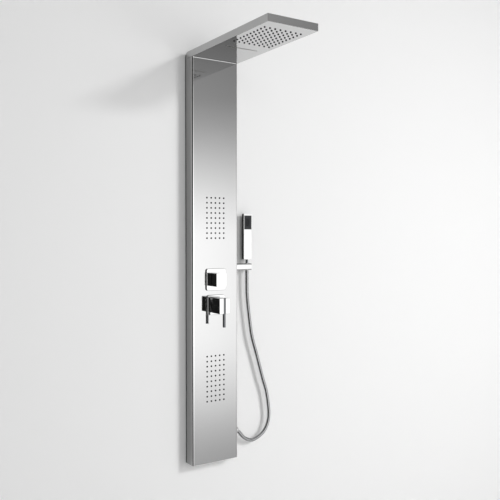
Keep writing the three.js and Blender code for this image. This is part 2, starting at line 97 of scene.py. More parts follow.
def per_metre(millimetres):
    """The pattern scale, a whole number, whose features are this wide on the real surface."""
    return round(1000 / millimetres)


def flat_sheet(name, corners, faces, material):
    """A staged plane that isn't part of the object."""
    mesh = bpy.data.meshes.new(name)
    mesh.from_pydata(corners, [], faces)
    mesh.materials.append(material)
    made = bpy.data.objects.new(name, mesh)
    bpy.context.collection.objects.link(made)
    return made


def wall_paint():
    """Matt white wall paint, seen from the room only, so that the back stays in view."""
    made, tree, shader, place = start_material("matt_wall_paint", "#F4F4F4", 0, 0.9)
    roller = add_node(tree, "ShaderNodeTexNoise",
                      {"Scale": per_metre(1.111), "Detail": 2}, {"Vector": place})
    relief = add_node(tree, "ShaderNodeBump", {"Strength": 0.3, "Distance": 0.0001},
                      {"Height": roller.outputs["Fac"]})
    tree.links.new(relief.outputs["Normal"], shader.inputs["Normal"])
    side = add_node(tree, "ShaderNodeNewGeometry")
    clear = add_node(tree, "ShaderNodeBsdfTransparent")
    mix = add_node(tree, "ShaderNodeMixShader", None,
                   {0: side.outputs["Backfacing"], 1: shader.outputs[0], 2: clear.outputs[0]})
    tree.links.new(mix.outputs[0], tree.nodes["Material Output"].inputs["Surface"])
    return made


def floor_paint():
    """Pale matt floor."""
    made, tree, shader, place = start_material("pale_floor", "#BEBEBD", 0, 0.85)
    grain = add_node(tree, "ShaderNodeTexNoise",
                     {"Scale": per_metre(2.5), "Detail": 2}, {"Vector": place})
    relief = add_node(tree, "ShaderNodeBump", {"Strength": 0.3, "Distance": 0.0001},
                      {"Height": grain.outputs["Fac"]})
    tree.links.new(relief.outputs["Normal"], shader.inputs["Normal"])
    return made


# the wall is left open where the panel covers it, so that the inside can be seen from behind
wall_corners = [(turn * side, height) for side, low, top in (
    (wall_side, floor_height, wall_top), (opening_side, opening_low, opening_top))
    for turn, height in ((-1, low), (1, low), (1, top), (-1, top))]
flat_sheet("studio_wall", [(x, wall_gap, z) for x, z in wall_corners],
           [(0, 1, 5, 4), (1, 2, 6, 5), (2, 3, 7, 6), (3, 0, 4, 7)], wall_paint())
floor = flat_sheet("studio_floor", [
    (-wall_side, -floor_reach, floor_height), (wall_side, -floor_reach, floor_height),
    (wall_side, wall_gap, floor_height), (-wall_side, wall_gap, floor_height)],
    [(0, 1, 2, 3)], floor_paint())
floor.visible_glossy = False


def soft_light(name, place, target, width, height, power):
    """A soft box that looks at a target. Polished metal shows the room's own glow instead."""
    lamp = bpy.data.lights.new(name, "AREA")
    lamp.shape = "RECTANGLE"
    lamp.size, lamp.size_y = width, height
    lamp.energy = power
    made = bpy.data.objects.new(name, lamp)
    made.location = place
    made.rotation_euler = (Vector(target) - Vector(place)).to_track_quat("-Z", "Y").to_euler()
    made.visible_glossy = made.visible_camera = False
    bpy.context.collection.objects.link(made)


soft_light("strip_light", (1.9, -3.05, 0.1), (0, 0, -0.45), 1.2, 2.6, 37)
soft_light("overhead_light", (2.75, -4.76, 1.85), (2.75, -4.76, -2), 1.2, 1.2, 205)
soft_light("fill_light", (-0.6, -4.4, 0.1), (0, 0, -0.4), 2.4, 2.4, 43)


def studio_world():
    """The room as polished metal shows it: bright near eye level at the right, dark at the left."""
    world = bpy.data.worlds.new("studio")
    world.use_nodes = True
    tree = world.node_tree
    way = add_node(tree, "ShaderNodeTexCoord")
    split = add_node(tree, "ShaderNodeSeparateXYZ", None, {0: way.outputs["Generated"]})
    rise = add_node(tree, "ShaderNodeMapRange", {"From Min": -0.5, "From Max": 0.5},
                    {"Value": split.outputs["Z"]})
    ramp = add_node(tree, "ShaderNodeValToRGB", None, {"Fac": rise.outputs["Result"]})
    # sine of the elevation and the room's brightness there
    levels = [(-0.5, 0.30), (-0.318, 0.35), (-0.307, 0.37), (-0.275, 0.475), (-0.243, 0.62),
              (-0.21, 0.75), (-0.176, 0.857), (-0.153, 0.90), (-0.09, 0.95), (0.0, 0.95),
              (0.05, 0.785), (0.08, 0.66), (0.124, 0.47), (0.153, 0.36), (0.195, 0.245),
              (0.25, 0.21), (0.30, 0.28), (0.5, 0.28)]
    points = ramp.color_ramp.elements
    while len(points) < len(levels):
        points.new(0.5)
    for point, (height, value) in zip(points, levels):
        point.position = height + 0.5
        point.color = (value, value, value, 1)
    ahead = add_node(tree, "ShaderNodeMath", {"operation": "MULTIPLY", 1: -1.0},
                     {0: split.outputs["Y"]})
    around = add_node(tree, "ShaderNodeMath", {"operation": "ARCTAN2"},
                      {0: split.outputs["X"], 1: ahead.outputs[0]})
    dark_left = add_node(tree, "ShaderNodeMapRange",
                         {"interpolation_type": "SMOOTHSTEP", "From Min": math.radians(-24),
                          "From Max": math.radians(-13), "To Min": 0.012},
                         {"Value": around.outputs[0]})
    behind = add_node(tree, "ShaderNodeMath", {"operation": "GREATER_THAN", 1: 0.05},
                      {0: split.outputs["Y"]})
    unlit = add_node(tree, "ShaderNodeMath", {"operation": "MAXIMUM"},
                     {0: dark_left.outputs["Result"], 1: behind.outputs[0]})
    level = add_node(tree, "ShaderNodeMath", {"operation": "MULTIPLY"},
                     {0: ramp.outputs["Color"], 1: unlit.outputs[0]})
    glow_left = add_node(tree, "ShaderNodeMapRange",
                         {"interpolation_type": "SMOOTHSTEP", "From Min": math.radians(-14),
                          "From Max": math.radians(-6)}, {"Value": around.outputs[0]})
    glow_right = add_node(tree, "ShaderNodeMapRange",
                          {"interpolation_type": "SMOOTHSTEP", "From Min": math.radians(23),
                           "From Max": math.radians(28), "To Min": 1.9, "To Max": 1.0},
                          {"Value": around.outputs[0]})
    glow = add_node(tree, "ShaderNodeMix", {2: 1.0},
                    {0: glow_left.outputs["Result"], 3: glow_right.outputs["Result"]})
    fade = add_node(tree, "ShaderNodeMapRange",
                    {"From Min": math.radians(29), "From Max": math.radians(38),
                     "To Min": 1.05, "To Max": 0.80}, {"Value": around.outputs[0]})
    faded = add_node(tree, "ShaderNodeMath", {"operation": "MULTIPLY"},
                     {0: level.outputs[0], 1: fade.outputs["Result"]})
    shown = add_node(tree, "ShaderNodeMath", {"operation": "MULTIPLY"},
                     {0: faded.outputs[0], 1: glow.outputs[0]})
    # staged, as no real lamp does this: seen by way of two mirrors, the room is dim lower down
    path = add_node(tree, "ShaderNodeLightPath")
    twice = add_node(tree, "ShaderNodeMath", {"operation": "GREATER_THAN", 1: 1.5},
                     {0: path.outputs["Glossy Depth"]})
    low = add_node(tree, "ShaderNodeMapRange", {"From Min": -0.21, "From Max": -0.16,
                   "To Min": 0.38, "To Max": 1.0}, {"Value": split.outputs["Z"]})
    dim = add_node(tree, "ShaderNodeMix", {2: 1.0},
                   {0: twice.outputs[0], 3: low.outputs["Result"]})
    seen = add_node(tree, "ShaderNodeMath", {"operation": "MULTIPLY"},
                    {0: shown.outputs[0], 1: dim.outputs[0]})
    room = add_node(tree, "ShaderNodeBackground", {"Strength": 1.6},
                    {"Color": seen.outputs[0]})
    ambient = add_node(tree, "ShaderNodeBackground", {"Color": (0.26, 0.26, 0.26, 1)})
    plain = add_node(tree, "ShaderNodeBackground", {"Color": linear("#E4E4E4")})
    lit = add_node(tree, "ShaderNodeMixShader", None,
                   {0: path.outputs["Is Glossy Ray"], 1: ambient.outputs[0],
                    2: room.outputs[0]})
    mix = add_node(tree, "ShaderNodeMixShader", None,
                   {0: path.outputs["Is Camera Ray"], 1: lit.outputs[0],
                    2: plain.outputs[0]})
    tree.links.new(mix.outputs[0], tree.nodes["World Output"].inputs["Surface"])
    bpy.context.scene.world = world


studio_world()
bpy.context.scene.view_settings.view_transform = "Standard"


def place_camera():
    """A camera in front of the column to its left, aimed almost level."""
    lens = bpy.data.cameras.new("camera")
    lens.sensor_width = 36
    lens.lens = camera_lens
    made = bpy.data.objects.new("camera", lens)
    ahead = Vector((math.sin(camera_turn) * math.cos(camera_tilt),
                    math.cos(camera_turn) * math.cos(camera_tilt), math.sin(camera_tilt)))
    across = Vector((math.cos(camera_turn), -math.sin(camera_turn), 0))
    up = across.cross(ahead)
    turn = Matrix((across, up, -ahead)).transposed().to_4x4()
    made.matrix_world = Matrix.Translation(camera_place) @ turn
    bpy.context.collection.objects.link(made)
    bpy.context.scene.camera = made


place_camera()

# ---------------------------------------------------------------------------------------------
# Shower hose: a double-lock wound brass strip over a rubber tube, chromed, 14 mm across. It
# leaves the outlet on the panel's right side, sags in one loop and ends in the handset's cone.
hose_radius = 0.007
hose_pitch = 0.0042
hose_rings_per_turn = 4
hose_groove = 0.0005
outlet_end = Vector((0.117718, -0.027, -1.204754))
outlet_way = Vector((0.66, 0, -0.7513)).normalized()
cone_low, cone_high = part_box("hose_cone_nut")
hose_x, hose_y = (cone_low[0] + cone_high[0]) / 2, (cone_low[1] + cone_high[1]) / 2
hose_top = cone_low[2] - 0.0003
origin_height = 1.3
route = [outlet_end, outlet_end + outlet_way * 0.014] + [
    Vector((x / 1000, hose_y, z / 1000 - origin_height)) for x, z in [
        (148, 62), (183, 47), (222, 59), (248, 81), (262.5, 109), (267.5, 141), (265.5, 172),
        (255, 235), (235, 298), (208, 390), (184, 470), (175.5, 520), (166, 592),
        (161.5, 640)]] + [Vector((hose_x, hose_y, -0.61)), Vector((hose_x, hose_y, hose_top))]


def smooth_line(points, step):
    """A centripetal curve through the points, sampled about every step metres."""
    ends = [2 * points[0] - points[1], *points, 2 * points[-1] - points[-2]]
    line = []
    for a, b, c, d in zip(ends, ends[1:], ends[2:], ends[3:]):
        t1 = (b - a).length ** 0.5
        t2 = t1 + (c - b).length ** 0.5
        t3 = t2 + (d - c).length ** 0.5
        count = max(2, round((c - b).length / step))
        for i in range(count):
            t = t1 + (t2 - t1) * i / count
            ab = a.lerp(b, t / t1)
            bc = b.lerp(c, (t - t1) / (t2 - t1))
            cd = c.lerp(d, (t - t2) / (t3 - t2))
            line.append(ab.lerp(bc, t / t2).lerp(bc.lerp(cd, (t - t1) / (t3 - t1)),
                                                 (t - t1) / (t2 - t1)))
    return line + [points[-1]]


def line_object(name, points):
    """The points as a poly curve, for a tree to follow."""
    curve = bpy.data.curves.new(name, "CURVE")
    curve.dimensions = "3D"
    spline = curve.splines.new("POLY")
    spline.points.add(len(points) - 1)
    for point, place in zip(spline.points, points):
        point.co = (*place, 1)
    made = bpy.data.objects.new(name, curve)
    bpy.context.collection.objects.link(made)
    return made


def start_tree(name, inputs, takes_geometry=False):
    """A geometry tree with named inputs: each is a name, a socket type and a default."""
    tree = bpy.data.node_groups.new(name, "GeometryNodeTree")
    if takes_geometry:
        tree.interface.new_socket("Geometry", in_out="INPUT",
                                  socket_type="NodeSocketGeometry")
    sockets = {}
    for label, kind, default in inputs:
        socket = tree.interface.new_socket(label, in_out="INPUT", socket_type=kind)
        if default is not None:
            socket.default_value = default
        sockets[label] = socket.identifier
    tree.interface.new_socket("Geometry", in_out="OUTPUT", socket_type="NodeSocketGeometry")
    entry = tree.nodes.new("NodeGroupInput")
    return tree, entry, sockets


def plain_mesh(holder):
    """The evaluated object's mesh, with its modifiers in it. The holder is removed."""
    ready = holder.evaluated_get(bpy.context.evaluated_depsgraph_get())
    mesh = bpy.data.meshes.new_from_object(ready)
    bpy.data.objects.remove(holder)
    return mesh


def run_tree(tree, sockets, values, holder):
    """Runs a tree on an object with its inputs set, and gives the plain mesh it makes."""
    change = holder.modifiers.new("shape", "NODES")
    change.node_group = tree
    for label, value in values.items():
        change[sockets[label]] = value
    return plain_mesh(holder)


def wound_tube_tree():
    """Follows a curve with a tube whose radius steps in and out once each turn."""
    tree, entry, sockets = start_tree("wound_tube", [
        ("Radius", "NodeSocketFloat", 0.007), ("Step", "NodeSocketFloat", 0.001),
        ("Groove", "NodeSocketFloat", 0.0005), ("Steps per turn", "NodeSocketInt", 4),
        ("Sides", "NodeSocketInt", 20), ("Material", "NodeSocketMaterial", None)], True)
    given = entry.outputs
    even = add_node(tree, "GeometryNodeResampleCurve", {"mode": "LENGTH"},
                    {"Curve": given["Geometry"], "Length": given["Step"]})
    index = add_node(tree, "GeometryNodeInputIndex")
    place = add_node(tree, "ShaderNodeMath", {"operation": "MODULO"},
                     {0: index.outputs[0], 1: given["Steps per turn"]})
    deep = add_node(tree, "ShaderNodeMath", {"operation": "LESS_THAN", 1: 0.5},
                    {0: place.outputs[0]})
    drop = add_node(tree, "ShaderNodeMath", {"operation": "MULTIPLY"},
                    {0: deep.outputs[0], 1: given["Groove"]})
    radius = add_node(tree, "ShaderNodeMath", {"operation": "SUBTRACT"},
                      {0: given["Radius"], 1: drop.outputs[0]})
    sized = add_node(tree, "GeometryNodeSetCurveRadius", None,
                     {"Curve": even.outputs[0], "Radius": radius.outputs[0]})
    section = add_node(tree, "GeometryNodeCurvePrimitiveCircle", {"Radius": 1.0},
                       {"Resolution": given["Sides"]})
    skin = add_node(tree, "GeometryNodeCurveToMesh", {"Fill Caps": True},
                    {"Curve": sized.outputs[0], "Profile Curve": section.outputs[0]})
    if "Scale" in skin.inputs:
        tree.links.new(radius.outputs[0], skin.inputs["Scale"])
    finish = add_node(tree, "GeometryNodeSetMaterial", None,
                      {"Geometry": skin.outputs[0], "Material": given["Material"]})
    smooth = add_node(tree, "GeometryNodeSetShadeSmooth", None,
                      {"Geometry": finish.outputs[0]})
    leave = tree.nodes.new("NodeGroupOutput")
    tree.links.new(smooth.outputs[0], leave.inputs[0])
    return tree, sockets


def place_piece(name, mesh, body, *replaced):
    """Adds a finished mesh as a piece of the object, riding on a body."""
    made = bpy.data.objects.new(name, mesh)
    bpy.context.collection.objects.link(made)
    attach(made, body)
    if replaced:
        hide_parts(*replaced)
    return made


def hose_steel():
    """Chromed strip: bright, with a slight satin from the winding's fine edges."""
    made, tree, shader, place = start_material("chromed_hose_strip", "#A2A3A4", 1, 0.1)
    wear = add_node(tree, "ShaderNodeTexNoise",
                    {"Scale": per_metre(3.85), "Detail": 2}, {"Vector": place})
    gloss = add_node(tree, "ShaderNodeMapRange", {"To Min": 0.06, "To Max": 0.13},
                     {"Value": wear.outputs["Fac"]})
    tree.links.new(gloss.outputs["Result"], shader.inputs["Roughness"])
    return made


hose_line = smooth_line(route, 0.004)
wound_tree, wound_sockets = wound_tube_tree()
hose_mesh = run_tree(wound_tree, wound_sockets, {
    "Radius": hose_radius, "Step": hose_pitch / hose_rings_per_turn, "Groove": hose_groove,
    "Steps per turn": hose_rings_per_turn, "Sides": 20, "Material": hose_steel(),
}, line_object("hose_line", hose_line))
hose = bpy.data.objects.new("wound_shower_hose", hose_mesh)
bpy.context.collection.objects.link(hose)
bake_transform(hose)
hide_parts("shower_hose")

# ---------------------------------------------------------------------------------------------
# Panel: one sheet of 1.5 mm stainless steel, folded to a shallow channel and mirror polished.
# The fold is soft, 6.5 mm outside. Round holes are punched for the jets and the controls.
sheet = 0.0015
fold = 0.0065
support = 0.0004
past = 0.001  # how far a cutter runs past the face that it cuts
panel_low, panel_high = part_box("column_shell")
head_low, head_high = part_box("head_shell")
jet_pitch = (0.0185, 0.0192)
jet_hole = 0.0034
jet_fields = [(5, 9, 0.939 - origin_height), (5, 10, 0.3235 - origin_height)]


def arc(centre, radius, start, end, steps):
    """Points round a centre, from one angle to another in degrees."""
    turns = [math.radians(start + (end - start) * i / steps) for i in range(steps + 1)]
    return [(centre[0] + radius * math.cos(t), centre[1] + radius * math.sin(t))
            for t in turns]


def rounded(width, height, radius, steps=8):
    """A rounded rectangle about the origin, anticlockwise."""
    x, y = width / 2 - radius, height / 2 - radius
    corners = [((x, y), 0), ((-x, y), 90), ((-x, -y), 180), ((x, -y), 270)]
    return [p for centre, turn in corners for p in arc(centre, radius, turn, turn + 90, steps)]


def prism(outline, low, high, along):
    """A closed solid: an outline carried from low to high along one axis."""
    place = {"x": lambda a, b, h: (h, a, b), "y": lambda a, b, h: (a, h, b),
             "z": lambda a, b, h: (a, b, h)}[along]
    solid = bmesh.new()
    near, far = [[solid.verts.new(place(a, b, h)) for a, b in outline] for h in (low, high)]
    for i in range(len(outline)):
        j = (i + 1) % len(outline)
        solid.faces.new((near[i], near[j], far[j], far[i]))
    solid.faces.new(near)
    solid.faces.new(far)
    bmesh.ops.recalc_face_normals(solid, faces=solid.faces)
    return solid


def merge(*solids):
    """Puts several separate solids in one."""
    first = solids[0]
    for other in solids[1:]:
        mesh = bpy.data.meshes.new("part")
        other.to_mesh(mesh)
        other.free()
        first.from_mesh(mesh)
        bpy.data.meshes.remove(mesh)
    return first


def shifted(solid, x=0.0, y=0.0, z=0.0):
    """Moves a solid and gives it back."""
    bmesh.ops.translate(solid, verts=solid.verts, vec=(x, y, z))
    return solid


def box_solid(x, y, z):
    """A block from its low and high x, y and z."""
    return prism([(x[0], y[0]), (x[1], y[0]), (x[1], y[1]), (x[0], y[1])], z[0], z[1], "z")


def disc_outline(radius, sides=24, centre=(0, 0)):
    return arc(centre, radius, 0, 360 * (sides - 1) / sides, sides - 1)


def loose_object(name, solid):
    mesh = bpy.data.meshes.new(name)
    solid.to_mesh(mesh)
    solid.free()
    made = bpy.data.objects.new(name, mesh)
    bpy.context.collection.objects.link(made)
    return made


def carve(solid, *cutters):
    """Cuts solids out of a solid, and gives the mesh that is left."""
    target = loose_object("carved", solid)
    tools = [loose_object("cutter", cutter) for cutter in cutters]
    for tool in tools:
        change = target.modifiers.new("cut", "BOOLEAN")
        change.operation = "DIFFERENCE"
        change.solver = "EXACT"
        change.object = tool
    mesh = plain_mesh(target)
    for tool in tools:
        bpy.data.objects.remove(tool)
    return mesh


def mesh_of(solid):
    mesh = bpy.data.meshes.new("solid")
    solid.to_mesh(mesh)
    solid.free()
    return mesh


def eased(mesh, width, segments, angle):
    """A mesh with its sharp edges rounded, as a deburred or polished edge is."""
    holder = bpy.data.objects.new("eased", mesh)
    bpy.context.collection.objects.link(holder)
    for face in mesh.polygons:
        face.use_smooth = True
    bevel = holder.modifiers.new("ease", "BEVEL")
    bevel.width = width
    bevel.segments = segments
    bevel.limit_method = "ANGLE"
    bevel.angle_limit = math.radians(angle)
    bevel.harden_normals = True
    bevel.use_clamp_overlap = True
    return plain_mesh(holder)


def creased(mesh, angle=30):
    """Smooth shading with sharp edges past an angle."""
    mesh.shade_smooth()
    mesh.set_sharp_from_angle(angle=math.radians(angle))
    return mesh


def painted(mesh, material):
    """Gives a mesh its material."""
    mesh.materials.append(material)
    return mesh


def mirror_steel():
    """Stainless sheet, mirror polished: sharp reflections, a slight haze that varies, and a very
    shallow waviness left by folding. Painted shade darkens the sides, most at their back edge."""
    made, tree, shader, place = start_material("mirror_polished_stainless", "#CACACA", 1, 0.06)
    haze = add_node(tree, "ShaderNodeTexNoise",
                    {"Scale": per_metre(28.6), "Detail": 4}, {"Vector": place})
    gloss = add_node(tree, "ShaderNodeMapRange", {"To Min": 0.045, "To Max": 0.085},
                     {"Value": haze.outputs["Fac"]})
    tree.links.new(gloss.outputs["Result"], shader.inputs["Roughness"])
    wave = add_node(tree, "ShaderNodeTexNoise",
                    {"Scale": per_metre(167), "Detail": 1}, {"Vector": place})
    relief = add_node(tree, "ShaderNodeBump", {"Strength": 1.0, "Distance": 0.00012},
                      {"Height": wave.outputs["Fac"]})
    tree.links.new(relief.outputs["Normal"], shader.inputs["Normal"])
    # painted shade: the sides are coloured darker than the front
    split = add_node(tree, "ShaderNodeSeparateXYZ", None, {0: place})
    out = add_node(tree, "ShaderNodeMath", {"operation": "ABSOLUTE"}, {0: split.outputs["X"]})
    side = add_node(tree, "ShaderNodeMapRange", {"From Min": 0.0988, "From Max": 0.0996},
                    {"Value": out.outputs[0]})
    # painted shadow: a dark line along the sides' back edge, where they meet the wall
    painted_gap_shadow_mask = add_node(tree, "ShaderNodeMapRange", {"From Min": -0.0085, "From Max": -0.0065},
                    {"Value": split.outputs["Y"]})
    painted_side_shade = add_node(tree, "ShaderNodeMix", {"data_type": "RGBA", 6: linear("#B3B3B3"),
                     7: linear("#565656")}, {0: painted_gap_shadow_mask.outputs["Result"]})
    tone = add_node(tree, "ShaderNodeMix", {"data_type": "RGBA", 6: linear("#CACACA")},
                    {0: side.outputs["Result"], 7: painted_side_shade.outputs[2]})
    tree.links.new(tone.outputs[2], shader.inputs["Base Color"])
    return made


def panel_outline():
    """The folded channel seen from above, with a support point on each side of a fold."""
    side, front = panel_high[0], panel_low[1]
    edge = side - 0.0105
    inner = fold - sheet
    half = [(edge, -sheet), (edge, 0), (side, 0), (side, front + fold + support)]
    half += arc((side - fold, front + fold), fold, 0, -90, 8)
    half += [(side - fold - support, front)]
    inside = [(side - sheet, -sheet), (side - sheet, front + sheet + inner + support)]
    inside += arc((side - fold, front + fold), inner, 0, -90, 6)
    inside += [(side - fold - support, front + sheet)]
    outer = half + [(-x, y) for x, y in reversed(half)]
    return outer + [(-x, y) for x, y in inside] + list(reversed(inside))


def punches(columns, rows, pitch, radius, middle, depth, along):
    """Round punches for a field of holes, centred on middle."""
    found = []
    for column in range(columns):
        for row in range(rows):
            a = (column - (columns - 1) / 2) * pitch[0]
            b = (row - (rows - 1) / 2) * pitch[1] + middle
            found.append(prism(disc_outline(radius, 20, (a, b)), *depth, along))
    return merge(*found)


diverter_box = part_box("diverter_plate")
mixer_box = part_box("mixer_plate")
diverter_height = (diverter_box[0][2] + diverter_box[1][2]) / 2
mixer_height = (mixer_box[0][2] + mixer_box[1][2]) / 2
through_front = (panel_low[1] - 2 * past, panel_low[1] + sheet + past)
diverter_hole, mixer_hole = 0.013, 0.014
outlet_height = 0.112 - origin_height
side_holes = [(0.0095, outlet_height), (0.0025, 0.741 - origin_height),
              (0.0025, 0.755 - origin_height)]
through_side = (0.095, 0.103)
flare = (0.002, 0.00022)


def panel_channel():
    """The channel, with the top of its front sheet pressed out a little to meet the head."""
    solid = prism(panel_outline(), panel_low[2], panel_high[2], "z")
    for drop in (flare[0], flare[0] + support):
        bmesh.ops.bisect_plane(solid, geom=[*solid.verts, *solid.edges, *solid.faces],
                               plane_co=(0, 0, panel_high[2] - drop), plane_no=(0, 0, 1))
    for vert in solid.verts:
        if vert.co.z > panel_high[2] - 1e-6 and vert.co.y < panel_low[1] + sheet + 1e-4:
            vert.co.y -= flare[1]
    return solid


panel_mesh = carve(
    panel_channel(),
    merge(*[punches(columns, rows, jet_pitch, jet_hole, middle, through_front, "y")
            for columns, rows, middle in jet_fields],
          prism(disc_outline(diverter_hole, 32, (0, diverter_height)), *through_front, "y"),
          prism(disc_outline(mixer_hole, 32, (0, mixer_height)), *through_front, "y")),
    merge(*[prism(disc_outline(radius, 24, (hose_y, height)), *through_side, "x")
            for radius, height in side_holes]),
)
steel = mirror_steel()
place_piece("folded_panel", creased(painted(panel_mesh, steel)), "panel", "column_shell")

# ---------------------------------------------------------------------------------------------
# Head: a tray of the same sheet, with a rolled back corner and lightly eased edges. The nozzle
# plate lies inside its rim, punched for the rain nozzles and the waterfall slot.
back_roll = 0.022
plate_low, plate_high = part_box("head_nozzle_plate")
rain_grid = (8, 10)
rain_pitch = 0.0207
rain_middle = -0.404
fall_middle = -0.246
fall_size = (0.130, 0.0062)


def tray_outline(inset, bottom):
    """The head seen from the side: y and z."""
    back, top = head_high[1] - inset, head_high[2] - inset
    radius = back_roll - inset
    return ([(back, bottom), (back, top - radius - support)]
            + arc((back - radius, top - radius), radius, 0, 90, 12)
            + [(back - radius - support, top), (head_low[1] + inset, top),
               (head_low[1] + inset, bottom)])


def tray():
    side = head_high[0]
    shell = carve(prism(tray_outline(0, head_low[2]), -side, side, "x"),
                  prism(tray_outline(sheet, head_low[2] - 0.01), sheet - side, side - sheet, "x"))
    return eased(shell, 0.0006, 3, 50)


place_piece("head_tray", painted(tray(), steel), "panel", "head_shell")

through_plate = (plate_low[2] - past, plate_high[2] + past)
slot_solid = shifted(prism(rounded(fall_size[0], fall_size[1], 0.002), *through_plate, "z"),
                     y=fall_middle)
plate_mesh = carve(
    box_solid((plate_low[0], plate_high[0]), (plate_low[1], plate_high[1]),
              (plate_low[2], plate_high[2])),
    punches(*rain_grid, (rain_pitch, rain_pitch), jet_hole, rain_middle, through_plate, "z"),
    slot_solid)
place_piece("nozzle_plate", creased(painted(plate_mesh, steel)), "panel", "head_nozzle_plate")

# ---------------------------------------------------------------------------------------------
# Nozzles: soft black silicone nubs moulded on a mat behind each plate, so that scale rubs off.
# Each has a collar against the hole, a tapered tip and a small dimple for the water.
nub_profile = [(0.00336, -0.0016), (0.00336, 0.0006), (0.0031, 0.001), (0.0021, 0.0024),
               (0.0016, 0.0026), (0.0008, 0.0026), (0.0006, 0.0012)]


def silicone_black(name="moulded_silicone", colour="#060606"):
    """Moulded silicone: matt, slightly dusty black."""
    made, tree, shader, place = start_material(name, colour, 0, 0.55)
    shader.inputs["IOR"].default_value = 1.33
    dust = add_node(tree, "ShaderNodeTexNoise",
                    {"Scale": per_metre(1.429), "Detail": 3}, {"Vector": place})
    gloss = add_node(tree, "ShaderNodeMapRange", {"To Min": 0.45, "To Max": 0.68},
                     {"Value": dust.outputs["Fac"]})
    tree.links.new(gloss.outputs["Result"], shader.inputs["Roughness"])
    relief = add_node(tree, "ShaderNodeBump", {"Strength": 1.0, "Distance": 0.00003},
                      {"Height": dust.outputs["Fac"]})
    tree.links.new(relief.outputs["Normal"], shader.inputs["Normal"])
    return made


def turned(profile, sides=12, closed_ends=True):
    """A solid turned about the z axis from its radius and height points."""
    solid = bmesh.new()
    rings = []
    for radius, height in profile:
        ring = [solid.verts.new((radius * math.cos(2 * math.pi * i / sides),
                                 radius * math.sin(2 * math.pi * i / sides), height))
                for i in range(sides)]
        rings.append(ring)
    for low, high in zip(rings, rings[1:]):
        for i in range(sides):
            j = (i + 1) % sides
            solid.faces.new((low[i], low[j], high[j], high[i]))
    if closed_ends:
        solid.faces.new(rings[0])
        solid.faces.new(rings[-1])
    bmesh.ops.recalc_face_normals(solid, faces=solid.faces)
    return solid


def field_tree():
    """Sets one nozzle on every point of a grid."""
    tree, entry, sockets = start_tree("nozzle_field", [
        ("Columns", "NodeSocketInt", 5), ("Rows", "NodeSocketInt", 9),
        ("Pitch across", "NodeSocketFloat", 0.02), ("Pitch along", "NodeSocketFloat", 0.02),
        ("Nozzle", "NodeSocketObject", None), ("Material", "NodeSocketMaterial", None)])
    given = entry.outputs

    def span(count, pitch):
        steps = add_node(tree, "ShaderNodeMath", {"operation": "SUBTRACT", 1: 1.0},
                         {0: given[count]})
        size = add_node(tree, "ShaderNodeMath", {"operation": "MULTIPLY"},
                        {0: steps.outputs[0], 1: given[pitch]})
        return size.outputs[0]

    points = add_node(tree, "GeometryNodeMeshGrid", None, {
        "Size X": span("Columns", "Pitch across"), "Size Y": span("Rows", "Pitch along"),
        "Vertices X": given["Columns"], "Vertices Y": given["Rows"]})
    nozzle = add_node(tree, "GeometryNodeObjectInfo", None, {"Object": given["Nozzle"]})
    copies = add_node(tree, "GeometryNodeInstanceOnPoints", None,
                      {"Points": points.outputs["Mesh"], "Instance": nozzle.outputs["Geometry"]})
    real = add_node(tree, "GeometryNodeRealizeInstances", None, {0: copies.outputs[0]})
    finish = add_node(tree, "GeometryNodeSetMaterial", None,
                      {"Geometry": real.outputs[0], "Material": given["Material"]})
    leave = tree.nodes.new("NodeGroupOutput")
    tree.links.new(finish.outputs[0], leave.inputs[0])
    return tree, sockets


nozzle_tree, nozzle_sockets = field_tree()
nub = loose_object("nub", turned(nub_profile, 12))
silicone = silicone_black()


def nozzle_field(columns, rows, pitch, material):
    """A flat field of nozzles about the origin, pointing up z."""
    mesh = bpy.data.meshes.new("field")
    holder = bpy.data.objects.new("field", mesh)
    bpy.context.collection.objects.link(holder)
    made = run_tree(nozzle_tree, nozzle_sockets, {
        "Columns": columns, "Rows": rows, "Pitch across": pitch[0], "Pitch along": pitch[1],
        "Nozzle": nub, "Material": material}, holder)
    return creased(made, 40)


face_out = Matrix.Rotation(math.radians(90), 4, "X")
for label, (columns, rows, middle) in zip(("upper", "lower"), jet_fields):
    field = nozzle_field(columns, rows, jet_pitch, silicone)
    field.transform(Matrix.Translation((0, panel_low[1], middle)) @ face_out)
    place_piece(f"{label}_jet_nozzles", field, "panel")
rain = nozzle_field(*rain_grid, (rain_pitch, rain_pitch), silicone)
rain.transform(Matrix.Translation((0, rain_middle, plate_low[2]))
               @ Matrix.Rotation(math.pi, 4, "X"))
place_piece("rain_nozzles", rain, "panel")

# ---------------------------------------------------------------------------------------------
# Control plates and handles: brass, chromed bright. The plates are pressed with rounded
# corners; the diverter knob and the mixer's block are solid, with finely rounded edges.


def bright_chrome():
    """Chrome plate on polished brass: nearly a mirror, a touch cooler than steel."""
    made, tree, shader, place = start_material("bright_chrome", "#DDDDDD", 1, 0.035)
    film = add_node(tree, "ShaderNodeTexNoise",
                    {"Scale": per_metre(16.7), "Detail": 3}, {"Vector": place})
    gloss = add_node(tree, "ShaderNodeMapRange", {"To Min": 0.02, "To Max": 0.055},
                     {"Value": film.outputs["Fac"]})
    tree.links.new(gloss.outputs["Result"], shader.inputs["Roughness"])
    return made


chrome = bright_chrome()


def control_plate(name, node):
    """A pressed cover plate with a rolled edge, open behind."""
    corner, thick, spindle_hole = 0.008, 0.003, 0.0085
    low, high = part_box(node)
    height = (low[2] + high[2]) / 2
    width, tall = high[0] - low[0], high[2] - low[2]
    outer = shifted(prism(rounded(width, tall, corner), low[1], high[1], "y"), z=height)
    inner = shifted(prism(rounded(width - 2 * thick, tall - 2 * thick, corner - thick),
                          low[1] + thick, high[1] + past, "y"), z=height)
    bore = shifted(prism(disc_outline(spindle_hole, 32), low[1] - past, high[1], "y"), z=height)
    place_piece(name, painted(eased(carve(outer, inner, bore), 0.0014, 4, 50), chrome),
                "panel", node)


control_plate("diverter_cover", "diverter_plate")
control_plate("mixer_cover", "mixer_plate")


